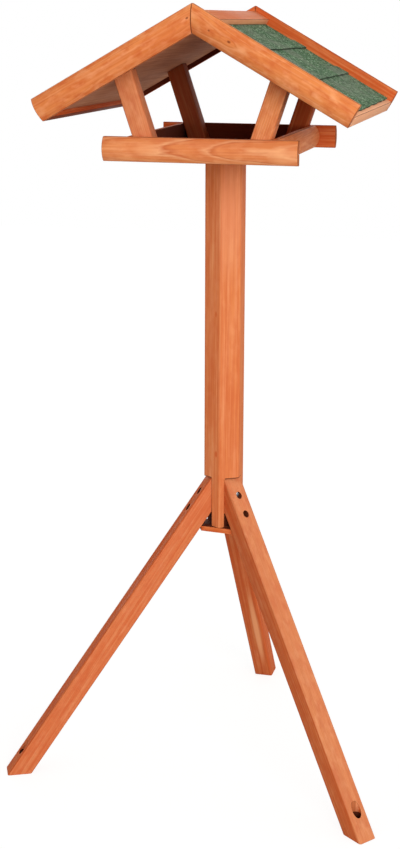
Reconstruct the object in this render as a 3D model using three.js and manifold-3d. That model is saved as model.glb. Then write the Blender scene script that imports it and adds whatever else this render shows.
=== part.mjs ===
// Wooden bird table for the garden: a felted gable roof on four splayed posts over a
// feed tray, carried by a six-sided column on three splayed legs.
// Millimetres, +Z up. The gables face -Y and +Y, and the eaves run along Y.
import * as THREE from 'three';
import { mergeVertices } from 'three/addons/utils/BufferGeometryUtils.js';
import Module from 'manifold-3d';

const wasm = await Module();
wasm.setup();

const radians = THREE.MathUtils.degToRad;

// Clearances and cutting
const woodGap = 0.3; // left between two pieces of wood that are screwed or glued together
const screwGap = 0.3; // all round a screw in its hole
const cutOverrun = 40; // how far a cutting tool runs past the face that it opens
const cornerSteps = 2;
const crownSteps = 14;
const roundSteps = 24;
const screwSteps = 14;

// Half-round strip, which makes the bargeboards and the tray's rim
const stripHeight = 34.5;
const stripThickness = 15;
const stripCrown = 8; // how far the rounded face stands out between the strip's two edges

// Feed tray
const trayRimLength = 280; // of the front and back rims, past the side rims
const trayInsideWidth = 200;
const trayInsideDepth = 314;
const trayFloorThickness = 9;
const trayUndersideHeight = 983.5; // above the ground

// Splayed posts
const postSide = 28;
const postRounding = 2.5;
const postLean = 18.4; // degrees from upright, outwards to the eaves

// Roof
const roofSpan = 460; // over the upper edges of the bargeboards
const roofPitch = 29.4; // degrees
const roofInsideDepth = 400; // between the bargeboards
const roofRise = 181; // from the tray's rim to the top of the bargeboards
const ridgeCapSink = 7.3; // below the upper edges of the bargeboards
const ridgeCapThickness = 8.7;
const ridgeCapWidth = 30;
const feltThickness = 1.7;
const feltLap = 20; // how far a course of felt covers the one below
const feltRamp = 6; // over which a course climbs on to the one below
const feltSetback = 7; // of the lowest course from the fascia's outer face
const feltEdgeShares = { upper: 0.385, middle: 0.69 }; // lower edges, down the slope
const roofPanelThickness = 9;
const fasciaThickness = 12;

// Six-sided column
const columnAcrossFlats = 56;
const columnRounding = 3.5;
const columnTail = 23; // of the column below the legs' inner ends

// Splayed legs
const legSide = 32;
const legRounding = 3;
const legLean = 34.5; // degrees from upright
const legReach = 335; // from the column's axis to a leg's axis, on the ground
const legSeatRadius = 22; // from the column's axis to the flats cut for the legs
const legDirections = { left: 204.5, right: 321, back: 89 }; // degrees, as they stand
const pegHoleDiameter = 15;
const pegHoleInset = 8.4; // inwards from the leg's axis on the ground

// Brace plate under the column, between the legs
const bracePlateThickness = 8;
const bracePlateEdgeRadius = 30; // from the axis to the plate's three long edges

// Screws
const shankDiameter = 4;
const screwTip = 4;
const panHeadDiameter = 8;
const panHeadHeight = 3;
const counterboreDiameter = 9.4;
const flatHeadDiameter = 7.5;
const flatHeadHeight = 2.4;
const endScrewBite = 24; // length of a screw in end grain
const columnScrewRadius = 13; // from the column's axis to the screws in its two ends
const legScrewWeb = 10; // wood between a leg screw's head and the column
const legScrewBite = 15; // length of a leg screw in the column
const legScrewShares = { lower: 0.1, upper: 0.56 }; // up the leg's sawn end

// Materials
const finish = (color, roughness, metalness) => () =>
  new THREE.MeshStandardMaterial({ color, roughness, metalness });
const glazedPine = finish(0xd4824f, 0.6, 0);
const roofBoard = finish(0x8a6a52, 0.8, 0);
const mineralFelt = finish(0x4d7d60, 0.95, 0);
const zincedSteel = finish(0xb9bcc0, 0.35, 0.9);

const table = new THREE.Group();

function group(parent) {
  const child = new THREE.Group();
  parent.add(child);
  return child;
}

function piece(parent, name, geometry, material) {
  const mesh = new THREE.Mesh(geometry, material());
  mesh.name = name;
  parent.add(mesh);
  return mesh;
}

// Cutting. A cut waits in this list until every piece stands in its place.
const cuts = [];

function cut(parent, geometry, pieces, position = [0, 0, 0], turn = [0, 0, 0]) {
  const tool = new THREE.Mesh(geometry);
  tool.position.set(...position);
  tool.rotation.set(...turn);
  parent.add(tool);
  cuts.push({ tool, pieces });
}

function solidFrom(geometry) {
  const bare = geometry.clone();
  bare.deleteAttribute('normal');
  bare.deleteAttribute('uv');
  const merged = mergeVertices(bare);
  const corners = merged.index.array;
  const triangles = [];
  for (let i = 0; i < corners.length; i += 3) {
    const [a, b, c] = corners.slice(i, i + 3);
    if (a !== b && b !== c && c !== a) triangles.push(a, b, c);
  }
  const mesh = new wasm.Mesh({
    numProp: 3,
    vertProperties: new Float32Array(merged.attributes.position.array),
    triVerts: new Uint32Array(triangles),
  });
  return new wasm.Manifold(mesh);
}

function geometryFrom(solid) {
  const { vertProperties, triVerts, numProp } = solid.getMesh();
  const count = vertProperties.length / numProp;
  const positions = new Float32Array(count * 3);
  for (let i = 0; i < count; i += 1) {
    positions.set(vertProperties.subarray(i * numProp, i * numProp + 3), i * 3);
  }
  const geometry = new THREE.BufferGeometry();
  geometry.setAttribute('position', new THREE.BufferAttribute(positions, 3));
  geometry.setIndex(new THREE.BufferAttribute(new Uint32Array(triVerts), 1));
  geometry.computeVertexNormals();
  return geometry;
}

function makeCuts() {
  table.updateMatrixWorld(true);
  for (const target of new Set(cuts.flatMap(({ pieces }) => pieces))) {
    const intoTarget = target.matrixWorld.clone().invert();
    let solid = solidFrom(target.geometry);
    for (const { tool } of cuts.filter(({ pieces }) => pieces.includes(target))) {
      const placement = intoTarget.clone().multiply(tool.matrixWorld);
      solid = solid.subtract(solidFrom(tool.geometry.clone().applyMatrix4(placement)));
    }
    target.geometry = geometryFrom(solid);
  }
  cuts.forEach(({ tool }) => tool.removeFromParent());
}

// Sections. A section's first axis becomes a strip's Y, and its second the strip's Z.
function halfRoundSection(side) {
  const half = stripHeight / 2;
  const radius = (half ** 2 + stripCrown ** 2) / (2 * stripCrown);
  const centre = stripThickness - radius;
  const spread = Math.asin(half / radius);
  const outline = [new THREE.Vector2(0, half), new THREE.Vector2(0, -half)];
  for (let i = 0; i <= crownSteps; i += 1) {
    const angle = spread * ((2 * i) / crownSteps - 1);
    const depth = centre + radius * Math.cos(angle);
    outline.push(new THREE.Vector2(side * depth, radius * Math.sin(angle)));
  }
  return new THREE.Shape(outline);
}

// A regular section with the given number of corners, all rounded
function roundedSection(acrossFlats, rounding, corners) {
  const half = Math.PI / corners;
  const reach = (acrossFlats / 2 - rounding) / Math.cos(half);
  const shape = new THREE.Shape();
  for (let corner = 0; corner < corners; corner += 1) {
    const angle = half * (2 * corner + 1);
    const centre = [reach * Math.cos(angle), reach * Math.sin(angle)];
    shape.absarc(...centre, rounding, angle - half, angle + half);
  }
  return shape;
}

// A length of wood along +X. An end's slope says how far its saw cut runs along X for
// each millimetre up Z.
function strip(section, length, startSlope = 0, endSlope = 0) {
  const options = { depth: length, bevelEnabled: false, curveSegments: cornerSteps };
  const geometry = new THREE.ExtrudeGeometry(section, options);
  geometry.rotateX(Math.PI / 2).rotateZ(Math.PI / 2);
  const points = geometry.attributes.position;
  for (let i = 0; i < points.count; i += 1) {
    const slope = points.getX(i) > length / 2 ? endSlope : startSlope;
    points.setX(i, points.getX(i) + slope * points.getZ(i));
  }
  return geometry;
}

// A board with its outline in the XZ plane and its depth half each way along Y
function board(outline, depth) {
  const shape = new THREE.Shape(outline.map(([x, z]) => new THREE.Vector2(x, z)));
  const geometry = new THREE.ExtrudeGeometry(shape, { depth, bevelEnabled: false });
  return geometry.translate(0, 0, -depth / 2).rotateX(Math.PI / 2);
}

// Screws point down -Z. A pan head stands on Z = 0, and a flat head is level with it.
function turned(profile, steps) {
  const points = profile.map(([radius, height]) => new THREE.Vector2(radius, height));
  return new THREE.LatheGeometry(points, steps).rotateX(Math.PI / 2);
}

function shank(length, gap, top) {
  const radius = shankDiameter / 2 + gap;
  const end = -length - gap;
  return [[0, end], [radius, end + screwTip], [radius, top]];
}

const panHead = {
  screw: (length) => turned([
    ...shank(length, 0, 0),
    [panHeadDiameter / 2, 0],
    [panHeadDiameter / 2, panHeadHeight / 2],
    [panHeadDiameter / 4, panHeadHeight],
    [0, panHeadHeight],
  ], screwSteps),
  hole: (length) => turned([
    ...shank(length, screwGap, -screwGap),
    [counterboreDiameter / 2, -screwGap],
    [counterboreDiameter / 2, cutOverrun],
    [0, cutOverrun],
  ], roundSteps),
};

const flatHead = {
  screw: (length) => turned([
    ...shank(length, 0, -flatHeadHeight),
    [flatHeadDiameter / 2, 0],
    [0, 0],
  ], screwSteps),
  hole: (length) => turned([
    ...shank(length, screwGap, -flatHeadHeight - screwGap),
    [flatHeadDiameter / 2 + screwGap, -screwGap],
    [flatHeadDiameter / 2 + screwGap, cutOverrun],
    [0, cutOverrun],
  ], roundSteps),
};

function addScrew(parent, name, head, length, pieces, position, turn = [0, 0, 0]) {
  const mesh = piece(parent, name, head.screw(length), zincedSteel);
  mesh.position.set(...position);
  mesh.rotation.set(...turn);
  cut(parent, head.hole(length), pieces, position, turn);
}

function around(radius, angle, height) {
  return [radius * Math.cos(angle), radius * Math.sin(angle), height];
}

// Legs are worked out along their lean, from heights and distances to the column's axis
const lean = radians(legLean);
const legHalfWidth = legSide / 2 / Math.cos(lean); // measured level
const legEndRadius = legSeatRadius + woodGap;
const legHeight = (radius) => (legReach - radius) / Math.tan(lean); // of a leg's axis
const legTop = legHeight(legEndRadius - legHalfWidth);
const legHeel = legHeight(legEndRadius + legHalfWidth);
const columnFoot = legHeel - columnTail;
const columnTop = trayUndersideHeight - woodGap;

const stand = group(table);
const columnSection = roundedSection(columnAcrossFlats, columnRounding, 6);
const columnOptions = { depth: columnTop - columnFoot, bevelEnabled: false, curveSegments: cornerSteps };
const columnGeometry = new THREE.ExtrudeGeometry(columnSection, columnOptions);
const column = piece(stand, 'column', columnGeometry, glazedPine);
column.position.z = columnFoot;

for (const [side, direction] of Object.entries(legDirections)) {
  const outwards = group(stand);
  outwards.rotation.z = radians(direction);

  // The leg's inner end is sawn upright against the column, and its foot level
  const section = roundedSection(legSide, legRounding, 4);
  const length = (legReach - legEndRadius) / Math.sin(lean);
  const geometry = strip(section, length, -1 / Math.tan(lean), Math.tan(lean));
  const leg = piece(outwards, `leg_${side}`, geometry, glazedPine);
  leg.rotation.y = Math.PI / 2 - lean;
  leg.position.set(legEndRadius, 0, legHeight(legEndRadius));

  // A flat is sawn on the column for the leg, up to a shoulder over the leg's end
  const seatTop = legTop + woodGap;
  const seatHeight = seatTop - columnFoot + cutOverrun;
  const seat = new THREE.BoxGeometry(cutOverrun, 2 * columnAcrossFlats, seatHeight);
  cut(outwards, seat, [column], [legSeatRadius + cutOverrun / 2, 0, seatTop - seatHeight / 2]);

  // An upright hole lets a ground peg through the foot
  const pegHoleTop = (legHalfWidth + pegHoleInset + pegHoleDiameter / 2) / Math.tan(lean);
  const pegHoleLength = 2 * (pegHoleTop + cutOverrun);
  const pegHoleRadius = pegHoleDiameter / 2;
  const pegHole = new THREE.CylinderGeometry(pegHoleRadius, pegHoleRadius, pegHoleLength, roundSteps);
  cut(outwards, pegHole.rotateX(Math.PI / 2), [leg], [legReach - pegHoleInset, 0, 0]);

  for (const [level, share] of Object.entries(legScrewShares)) {
    const position = [legEndRadius + legScrewWeb, 0, legHeel + share * (legTop - legHeel)];
    const screwLength = legScrewWeb + woodGap + legScrewBite;
    const name = `leg_screw_${side}_${level}`;
    addScrew(outwards, name, panHead, screwLength, [leg, column], position, [0, Math.PI / 2, 0]);
  }
}

// Brace plate: a triangle with its long edges between the legs and its corners cut off,
// so that each short edge lies against a leg
const braceTop = columnFoot - woodGap;
const braceBottom = braceTop - bracePlateThickness;
const braceEndRadius = legReach - legHalfWidth - braceTop * Math.tan(lean) - woodGap;
const legAngles = Object.values(legDirections).sort((a, b) => a - b);
const betweenLegs = legAngles.map((angle, i) => {
  const next = legAngles[i + 1] ?? legAngles[0] + 360;
  return (angle + next) / 2;
});
const braceEdges = legAngles.flatMap((angle, i) => [
  { angle: radians(angle), radius: braceEndRadius },
  { angle: radians(betweenLegs[i]), radius: bracePlateEdgeRadius },
]);
const braceCorners = braceEdges.map((edge, i) => {
  const next = braceEdges[(i + 1) % braceEdges.length];
  const turn = Math.sin(next.angle - edge.angle);
  const x = edge.radius * Math.sin(next.angle) - next.radius * Math.sin(edge.angle);
  const y = next.radius * Math.cos(edge.angle) - edge.radius * Math.cos(next.angle);
  return new THREE.Vector2(x / turn, y / turn);
});
const braceOptions = { depth: bracePlateThickness, bevelEnabled: false };
const braceGeometry = new THREE.ExtrudeGeometry(new THREE.Shape(braceCorners), braceOptions);
const bracePlate = piece(stand, 'brace_plate', braceGeometry, glazedPine);
bracePlate.position.z = braceBottom;
betweenLegs.forEach((angle, i) => {
  const position = around(columnScrewRadius, radians(angle), braceBottom);
  const length = bracePlateThickness + woodGap + endScrewBite;
  const pieces = [bracePlate, column];
  addScrew(stand, `brace_screw_${i + 1}`, flatHead, length, pieces, position, [Math.PI, 0, 0]);
});

// Tray: its front and back rims lie over the ends of its side rims, round a floor
const tray = group(table);
tray.position.z = trayUndersideHeight;
const ends = { front: -1, back: 1 };
const sides = { left: -1, right: 1 };
for (const [end, sign] of Object.entries(ends)) {
  const geometry = strip(halfRoundSection(sign), trayRimLength);
  const rim = piece(tray, `tray_rim_${end}`, geometry, glazedPine);
  rim.position.set(-trayRimLength / 2, (sign * trayInsideDepth) / 2, stripHeight / 2);
}
for (const [side, sign] of Object.entries(sides)) {
  const length = trayInsideDepth - 2 * woodGap;
  const geometry = strip(halfRoundSection(-sign), length);
  const rim = piece(tray, `tray_rim_${side}`, geometry, glazedPine);
  rim.rotation.z = Math.PI / 2;
  rim.position.set((sign * trayInsideWidth) / 2, -length / 2, stripHeight / 2);
}
const floorWidth = trayInsideWidth - 2 * woodGap;
const floorDepth = trayInsideDepth - 2 * woodGap;
const floorGeometry = new THREE.BoxGeometry(floorWidth, floorDepth, trayFloorThickness);
const trayFloor = piece(tray, 'tray_floor', floorGeometry, roofBoard);
trayFloor.position.z = trayFloorThickness / 2;
betweenLegs.forEach((angle, i) => {
  const position = around(columnScrewRadius, radians(angle), trayFloorThickness);
  const length = trayFloorThickness + woodGap + endScrewBite;
  addScrew(tray, `floor_screw_${i + 1}`, flatHead, length, [trayFloor, column], position);
});

// Roof layers, as depths square to the slope from the bargeboards' upper edges
const pitch = radians(roofPitch);
const slopeLength = roofSpan / 2 / Math.cos(pitch);
const mitre = Math.tan(pitch); // a cut at the ridge runs down the slope by this for each mm
const mitreGap = woodGap / 2 / Math.cos(pitch);
const feltTop = ridgeCapSink + ridgeCapThickness + woodGap;
const feltBottom = feltTop + feltThickness;
const panelTop = feltBottom + woodGap;
const panelBottom = panelTop + roofPanelThickness;
const fasciaInnerFace = slopeLength - fasciaThickness;
const sheetDepth = roofInsideDepth - 2 * woodGap;
const roofTop = stripHeight + roofRise; // above the tray's underside

// Posts stand on the tray's floor, inside its corners, and reach the roof panels
const splay = radians(postLean);
const postHalfWidth = postSide / 2 / Math.cos(splay); // measured level
const postHeelOffset = trayInsideWidth / 2 - woodGap - postHalfWidth; // at the rim's top
const postOffset = (height) => postHeelOffset + (height - stripHeight) * Math.tan(splay);
const postBottom = trayFloorThickness + woodGap;
const postClearance = (panelBottom + woodGap) / Math.cos(pitch);
const postRise = roofRise - postClearance - postHeelOffset * mitre;
const postTop = stripHeight + postRise / (1 + mitre * Math.tan(splay));
const postLength = (postTop - postBottom) / Math.cos(splay);
const postPlace = trayInsideDepth / 2 - woodGap - postSide / 2; // from the middle to a post

// A layer of the roof from its mitre at the ridge down to a square end
function mitredLayer(top, bottom, lowerEnd) {
  return [
    [top * mitre + mitreGap, -top],
    [bottom * mitre + mitreGap, -bottom],
    [lowerEnd, -bottom],
    [lowerEnd, -top],
  ];
}

// A course of felt, whose lower edge climbs on to the next course where there is one
function feltCourse(upperEdge, lowerEdge, laps) {
  const climb = laps ? feltThickness + woodGap : 0;
  const lapStart = lowerEdge - feltLap;
  return [
    [upperEdge, -feltTop],
    [upperEdge, -feltBottom],
    [lapStart - feltRamp, -feltBottom],
    [lapStart, climb - feltBottom],
    [lowerEdge, climb - feltBottom],
    [lowerEdge, climb - feltTop],
    [lapStart, climb - feltTop],
    [lapStart - feltRamp, -feltTop],
  ];
}

// Each half of the house has its own group, in which +X runs out to its eave. The left
// half is turned about Z, so a piece at the front has the opposite Y in it.
for (const [side, sign] of Object.entries(sides)) {
  const half = group(tray);
  half.rotation.z = side === 'left' ? Math.PI : 0;
  const slope = group(half);
  slope.position.z = roofTop;
  slope.rotation.y = pitch; // +X now runs down the slope, and Z is square to it

  const panelOutline = mitredLayer(panelTop, panelBottom, fasciaInnerFace - woodGap);
  const panel = piece(slope, `roof_panel_${side}`, board(panelOutline, sheetDepth), roofBoard);

  const fasciaOutline = [
    [fasciaInnerFace, -panelTop],
    [fasciaInnerFace, -stripHeight],
    [slopeLength, -stripHeight],
    [slopeLength, -panelTop],
  ];
  piece(slope, `eave_fascia_${side}`, board(fasciaOutline, sheetDepth), glazedPine);

  const capOutline = mitredLayer(ridgeCapSink, ridgeCapSink + ridgeCapThickness, ridgeCapWidth);
  piece(slope, `ridge_cap_${side}`, board(capOutline, sheetDepth), glazedPine);

  const courses = {
    upper: [panelTop * mitre + mitreGap, slopeLength * feltEdgeShares.upper],
    middle: [slopeLength * feltEdgeShares.upper - feltLap, slopeLength * feltEdgeShares.middle],
    lower: [slopeLength * feltEdgeShares.middle - feltLap, slopeLength - feltSetback],
  };
  for (const [course, edges] of Object.entries(courses)) {
    const outline = feltCourse(...edges, course !== 'lower');
    piece(slope, `felt_${side}_${course}`, board(outline, sheetDepth), mineralFelt);
  }

  for (const [end, endSign] of Object.entries(ends)) {
    const across = sign * endSign;
    const start = (stripHeight / 2) * mitre + mitreGap;
    const bargeGeometry = strip(halfRoundSection(across), slopeLength - start, -mitre);
    const bargeboard = piece(slope, `bargeboard_${end}_${side}`, bargeGeometry, glazedPine);
    bargeboard.position.set(start, (across * roofInsideDepth) / 2, -stripHeight / 2);

    const section = roundedSection(postSide, postRounding, 4);
    const postGeometry = strip(section, postLength, -Math.tan(splay), Math.tan(pitch - splay));
    const post = piece(half, `post_${end}_${side}`, postGeometry, glazedPine);
    post.rotation.y = splay - Math.PI / 2;
    post.position.set(postOffset(postBottom), across * postPlace, postBottom);

    // Up through the tray's floor into the post's lower end
    const postScrewPlace = [postOffset(postBottom), across * postPlace, 0];
    const postScrewLength = trayFloorThickness + woodGap + endScrewBite;
    const postScrewName = `post_screw_${end}_${side}`;
    const lowerPieces = [trayFloor, post];
    const upwards = [Math.PI, 0, 0];
    addScrew(half, postScrewName, flatHead, postScrewLength, lowerPieces, postScrewPlace, upwards);

    // Through the panel into the post's upper end, under the felt
    const postEnd = new THREE.Vector2(postOffset(postTop), roofTop - postTop);
    const downSlope = postEnd.x * Math.cos(pitch) + postEnd.y * Math.sin(pitch);
    const roofScrewPlace = [downSlope, across * postPlace, -panelTop];
    const roofScrewLength = roofPanelThickness + woodGap + endScrewBite;
    const roofScrewName = `roof_screw_${end}_${side}`;
    addScrew(slope, roofScrewName, flatHead, roofScrewLength, [panel, post], roofScrewPlace);
  }
}

makeCuts();

// The origin is on the ground, in the middle of the space that the table takes up
table.updateMatrixWorld(true);
const reach = new THREE.Box3().setFromObject(table, true);
const middle = reach.getCenter(new THREE.Vector3());
table.position.set(-middle.x, -middle.y, -reach.min.z);

export default table;
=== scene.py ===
# Garden bird table of glazed pine: a felted gable roof over a tray, on a column with three
# legs. Pieces are shaped in millimetres, each in a frame of its own, and then placed.
import math
import random

import bmesh
import bpy
from mathutils import Matrix, Vector, noise


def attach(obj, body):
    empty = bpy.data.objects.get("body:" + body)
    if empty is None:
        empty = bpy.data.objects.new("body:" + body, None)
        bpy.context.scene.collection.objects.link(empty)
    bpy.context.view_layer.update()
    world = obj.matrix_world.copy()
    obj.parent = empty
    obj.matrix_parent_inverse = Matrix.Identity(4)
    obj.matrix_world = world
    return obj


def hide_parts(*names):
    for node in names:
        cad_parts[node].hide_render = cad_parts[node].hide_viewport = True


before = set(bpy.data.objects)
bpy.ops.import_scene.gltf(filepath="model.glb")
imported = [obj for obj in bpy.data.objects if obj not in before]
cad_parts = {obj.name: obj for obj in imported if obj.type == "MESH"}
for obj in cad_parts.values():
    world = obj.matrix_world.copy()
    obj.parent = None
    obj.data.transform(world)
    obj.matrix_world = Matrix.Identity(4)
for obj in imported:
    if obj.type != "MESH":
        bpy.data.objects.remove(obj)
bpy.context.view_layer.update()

millimetre = 0.001
near = 0.1  # mm, when a corner's place is compared
xAxis, yAxis, zAxis = Vector((1, 0, 0)), Vector((0, 1, 0)), Vector((0, 0, 1))
random.seed(41)
print("stage: CAD frame loaded")

# Places that several pieces share, in millimetres from the column's axis and the ground
layout = {
    "axis": (21.999, -60.233),  # of the column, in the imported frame
    "gap": 0.3,  # between two pieces of wood
    "trayBottom": 983.5,
    "trayInsideWidth": 200,
    "trayInsideDepth": 314,
    "roofTop": 1199,
    "roofSpan": 460,
    "roofPitch": math.radians(29.4),
    "roofInside": 400,
    "screwCircle": 13,
}
sides = {"left": -1, "right": 1}
ends = {"front": -1, "back": 1}
# The corners of tray and roof, and 1 or -1 for the two kinds that mirror each other
houseCorners = [(end, side, sides[side] * ends[end]) for side in sides for end in ends]
axisPlace = Matrix.Translation((*layout["axis"], 0))


# Materials
def colour(code):
    values = [int(code[i : i + 2], 16) / 255 for i in (1, 3, 5)]
    linear = [v / 12.92 if v <= 0.04045 else ((v + 0.055) / 1.055) ** 2.4 for v in values]
    return (*linear, 1)


def addNode(tree, kind, inputs=None, **settings):
    made = tree.nodes.new(f"ShaderNode{kind}")
    for key, value in settings.items():
        setattr(made, key, value)
    for key, value in (inputs or {}).items():
        if isinstance(value, bpy.types.NodeSocket):
            tree.links.new(value, made.inputs[key])
        else:
            made.inputs[key].default_value = value
    return made


def newMaterial(name):
    material = bpy.data.materials.new(name)
    material.use_nodes = True
    tree = material.node_tree
    tree.nodes.clear()
    return material, tree


def finishMaterial(tree, surface, bump=None):
    shader = addNode(tree, "BsdfPrincipled", surface)
    if bump:
        tree.links.new(bump.outputs[0], shader.inputs["Normal"])
    addNode(tree, "OutputMaterial", {0: shader.outputs[0]})


def setRamp(ramp, stops):
    elements = ramp.color_ramp.elements
    while len(elements) < len(stops):
        elements.new(0.5)
    for element, (position, code) in zip(elements, stops):
        element.position = position
        element.color = colour(code)


def mixed(tree, share, under, over):  # lays a colour over another by a share
    over = colour(over) if isinstance(over, str) else over
    return addNode(tree, "Mix", {0: share, 6: under, 7: over}, data_type="RGBA").outputs[2]


def ranged(tree, value, source, target, smooth=False):
    inputs = {0: value, 1: source[0], 2: source[1], 3: target[0], 4: target[1]}
    kind = "SMOOTHSTEP" if smooth else "LINEAR"
    return addNode(tree, "MapRange", inputs, interpolation_type=kind).outputs[0]


def vectorMath(tree, operation, first, second):
    return addNode(tree, "VectorMath", {0: first, 1: second}, operation=operation).outputs[0]


def lengthOf(tree, vector):
    return addNode(tree, "VectorMath", {0: vector}, operation="LENGTH").outputs["Value"]


def numberMath(tree, operation, first, second=0.0):
    return addNode(tree, "Math", {0: first, 1: second}, operation=operation).outputs[0]


def textureScale(length):  # for spots that measure this many millimetres
    return 1000 / length


def spotNoise(tree, place, scale, detail=3.0, roughness=0.5):
    inputs = {0: place, "Scale": scale, "Detail": detail, "Roughness": roughness}
    return addNode(tree, "TexNoise", inputs).outputs[0]


def threeNoises(tree, texture):  # its colour holds three that differ
    return addNode(tree, "SeparateColor", {0: texture.outputs["Color"]}).outputs


def attributeNode(tree, name):
    return addNode(tree, "Attribute", attribute_name=name)


def faceShare(tree, name):
    return attributeNode(tree, name).outputs["Fac"]


# Lengths run along the grain and widths across it, in millimetres
woodLook = {
    "ringWidth": 2.7,  # between the growth rings
    "ringWaver": 1,  # that a ring strays from a true circle
    "waverLength": 60,
    "waverWidth": 11,
    "wobble": 6,  # that the pith wanders sideways
    "wobbleLength": 230,
    "wobbleWidth": 85,
    "fibreLength": 140,
    "fibreWidth": 3.2,  # coarser than real fibres so that they show
    "blotchLength": 19,  # of the spots in which the glaze dries darker or paler
    "blotchWidth": 9,
    "coatLength": 130,  # of the parts that took more or less glaze
    "coatWidth": 38,
    "ringShow": 1,  # how strongly the rings show through
    "ringLeft": 0.5,  # of that, where they show least
    "fibreShow": 0.55,
    "fibreLeft": 0.5,  # of that, where the glaze is most spotted
    "blotchShow": 0.62,
    "deepShow": 0.4,
    "coatLeft": 0.55,  # of a thick coat, between its streaks
    "glossSpread": (-0.07, 0.09),  # round the roughness that the material is given
    "pooledDull": 0.3,  # more roughness where glaze has pooled
}
# Where each noise begins to show in the wood, and where it shows in full
woodSpans = {
    "rings": (0.38, 0.62),
    "fibre": (0.4, 0.66),
    "paleFibre": (0.46, 0.72),
    "blotch": (0.46, 0.7),
    "paleBlotch": (0.5, 0.74),
    "deep": (0.46, 0.7),
    "streaks": (0.36, 0.6),
    "gloss": (0.3, 0.7),
    "spotted": (0.4, 1),
    "pooled": (0.8, 1),
}
# Of a mark, in its own radii: where it is full, where it ends, from where the rings run
# round a knot, and how far they are pushed out
markForm = {"core": 0.5, "end": 1.4, "ringsTurn": 6, "swell": 0.6}


def grainNoise(tree, place, look, name, detail=3.0):  # drawn out along the grain
    length, width = look[f"{name}Length"], look[f"{name}Width"]
    scaled = vectorMath(tree, "MULTIPLY", place, (1 / length, 1 / width, 1 / width))
    return addNode(tree, "TexNoise", {0: scaled, "Scale": 1.0, "Detail": detail})


# The tone of the growth rings, and how strongly each mark shows
def woodRings(tree, place, look, tones, marks):
    wander = grainNoise(tree, place, look, "wobble", 2.0).outputs["Color"]
    centred = vectorMath(tree, "SUBTRACT", wander, (0.5, 0.5, 0.5))
    shift = vectorMath(tree, "MULTIPLY", centred, (0, look["wobble"], look["wobble"]))
    fromPith = vectorMath(tree, "MULTIPLY", vectorMath(tree, "ADD", place, shift), (0, 1, 1))
    straying = grainNoise(tree, place, look, "waver", 2.0).outputs[0]
    waver = ranged(tree, straying, (0, 1), (0, 2 * look["ringWaver"]))
    radius = numberMath(tree, "ADD", lengthOf(tree, fromPith), waver)
    markShares = []
    for centre, size, drawn, mark, share in marks:
        offset = vectorMath(tree, "SUBTRACT", place, centre)
        distance = lengthOf(tree, vectorMath(tree, "MULTIPLY", offset, (1 / drawn, 1, 1)))
        core, end = size * markForm["core"], size * markForm["end"]
        markShares.append((ranged(tree, distance, (end, core), (0, share), True), mark))
        if mark == "knot":
            reach, swell = size * markForm["ringsTurn"], size * markForm["swell"]
            pushed = ranged(tree, distance, (reach, core), (0, swell), True)
            radius = numberMath(tree, "ADD", radius, pushed)
    phase = numberMath(tree, "FRACT", numberMath(tree, "DIVIDE", radius, look["ringWidth"]))
    ring = addNode(tree, "ValToRGB", {0: phase})
    setRamp(ring, tones["ring"])
    return ring.outputs[0], markShares


# Planed softwood under a glaze: rings as flames and stripes, fine fibres and blotchy glaze.
# "woodPlace" is the place in mm in the log, with the pith along X.
def woodMaterial(name, look, tones, marks, roughness, specular):
    material, tree = newMaterial(name)
    place = attributeNode(tree, "woodPlace").outputs["Vector"]
    ring, markShares = woodRings(tree, place, look, tones, marks)
    coats = threeNoises(tree, grainNoise(tree, place, look, "coat"))
    blotches = threeNoises(tree, grainNoise(tree, place, look, "blotch"))
    fibres = grainNoise(tree, place, look, "fibre")
    fibre, paleFibre = fibres.outputs[0], threeNoises(tree, fibres)[1]

    ringShow = (look["ringLeft"] * look["ringShow"], look["ringShow"])
    show = ranged(tree, coats[0], woodSpans["rings"], ringShow)
    show = numberMath(tree, "MULTIPLY", show, faceShare(tree, "ringStrength"))
    tone = mixed(tree, show, colour(tones["plain"]), ring)
    coat, pooled = faceShare(tree, "glazeCoat"), faceShare(tree, "pooled")
    spotted = faceShare(tree, "glazeSpots")
    clear = ranged(tree, spotted, woodSpans["spotted"], (1, look["fibreLeft"]))
    streaks = ranged(tree, fibre, woodSpans["streaks"], (look["coatLeft"], 1))
    layers = []  # from the lowest up, with the share of each; spots hide the fibres
    for texture, span, shown, limit, tint in (
        (fibre, "fibre", look["fibreShow"], clear, "fibre"),
        (paleFibre, "paleFibre", look["fibreShow"], clear, "pale"),
        (blotches[0], "blotch", look["blotchShow"], spotted, "blotch"),
        (blotches[1], "paleBlotch", look["blotchShow"], spotted, "pale"),
    ):
        share = ranged(tree, texture, woodSpans[span], (0, shown))
        layers.append((numberMath(tree, "MULTIPLY", share, limit), tint))
    layers += [
        (ranged(tree, coats[1], woodSpans["deep"], (0, look["deepShow"])), "deep"),
        (faceShare(tree, "glazeRose"), "rose"),
        # thick and thin coats: real glaze, and on some pieces and faces painted shade and painted light
        (numberMath(tree, "MULTIPLY", ranged(tree, coat, (0, 1), (0, 1)), streaks), "thick"),
        (ranged(tree, coat, (0, -1), (0, 1)), "thin"),
        *markShares,
        (faceShare(tree, "endGrain"), "endGrain"),
        # glaze pooling along arrises, and painted shade in hollows and on faces in shadow
        (pooled, "pooled"),
    ]
    for share, tint in layers:
        tone = mixed(tree, share, tone, tones[tint])

    spread = [roughness + part for part in look["glossSpread"]]
    gloss = ranged(tree, coats[2], woodSpans["gloss"], spread)
    unpolished = ranged(tree, pooled, woodSpans["pooled"], (0, look["pooledDull"]))
    gloss = numberMath(tree, "ADD", gloss, unpolished)
    bump = addNode(tree, "Bump", {"Strength": 0.4, "Distance": 0.0002, "Height": fibre})
    surface = {"Base Color": tone, "Roughness": gloss, "IOR": 1.48, "Specular IOR Level": specular}
    finishMaterial(tree, surface, bump)
    return material


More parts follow.
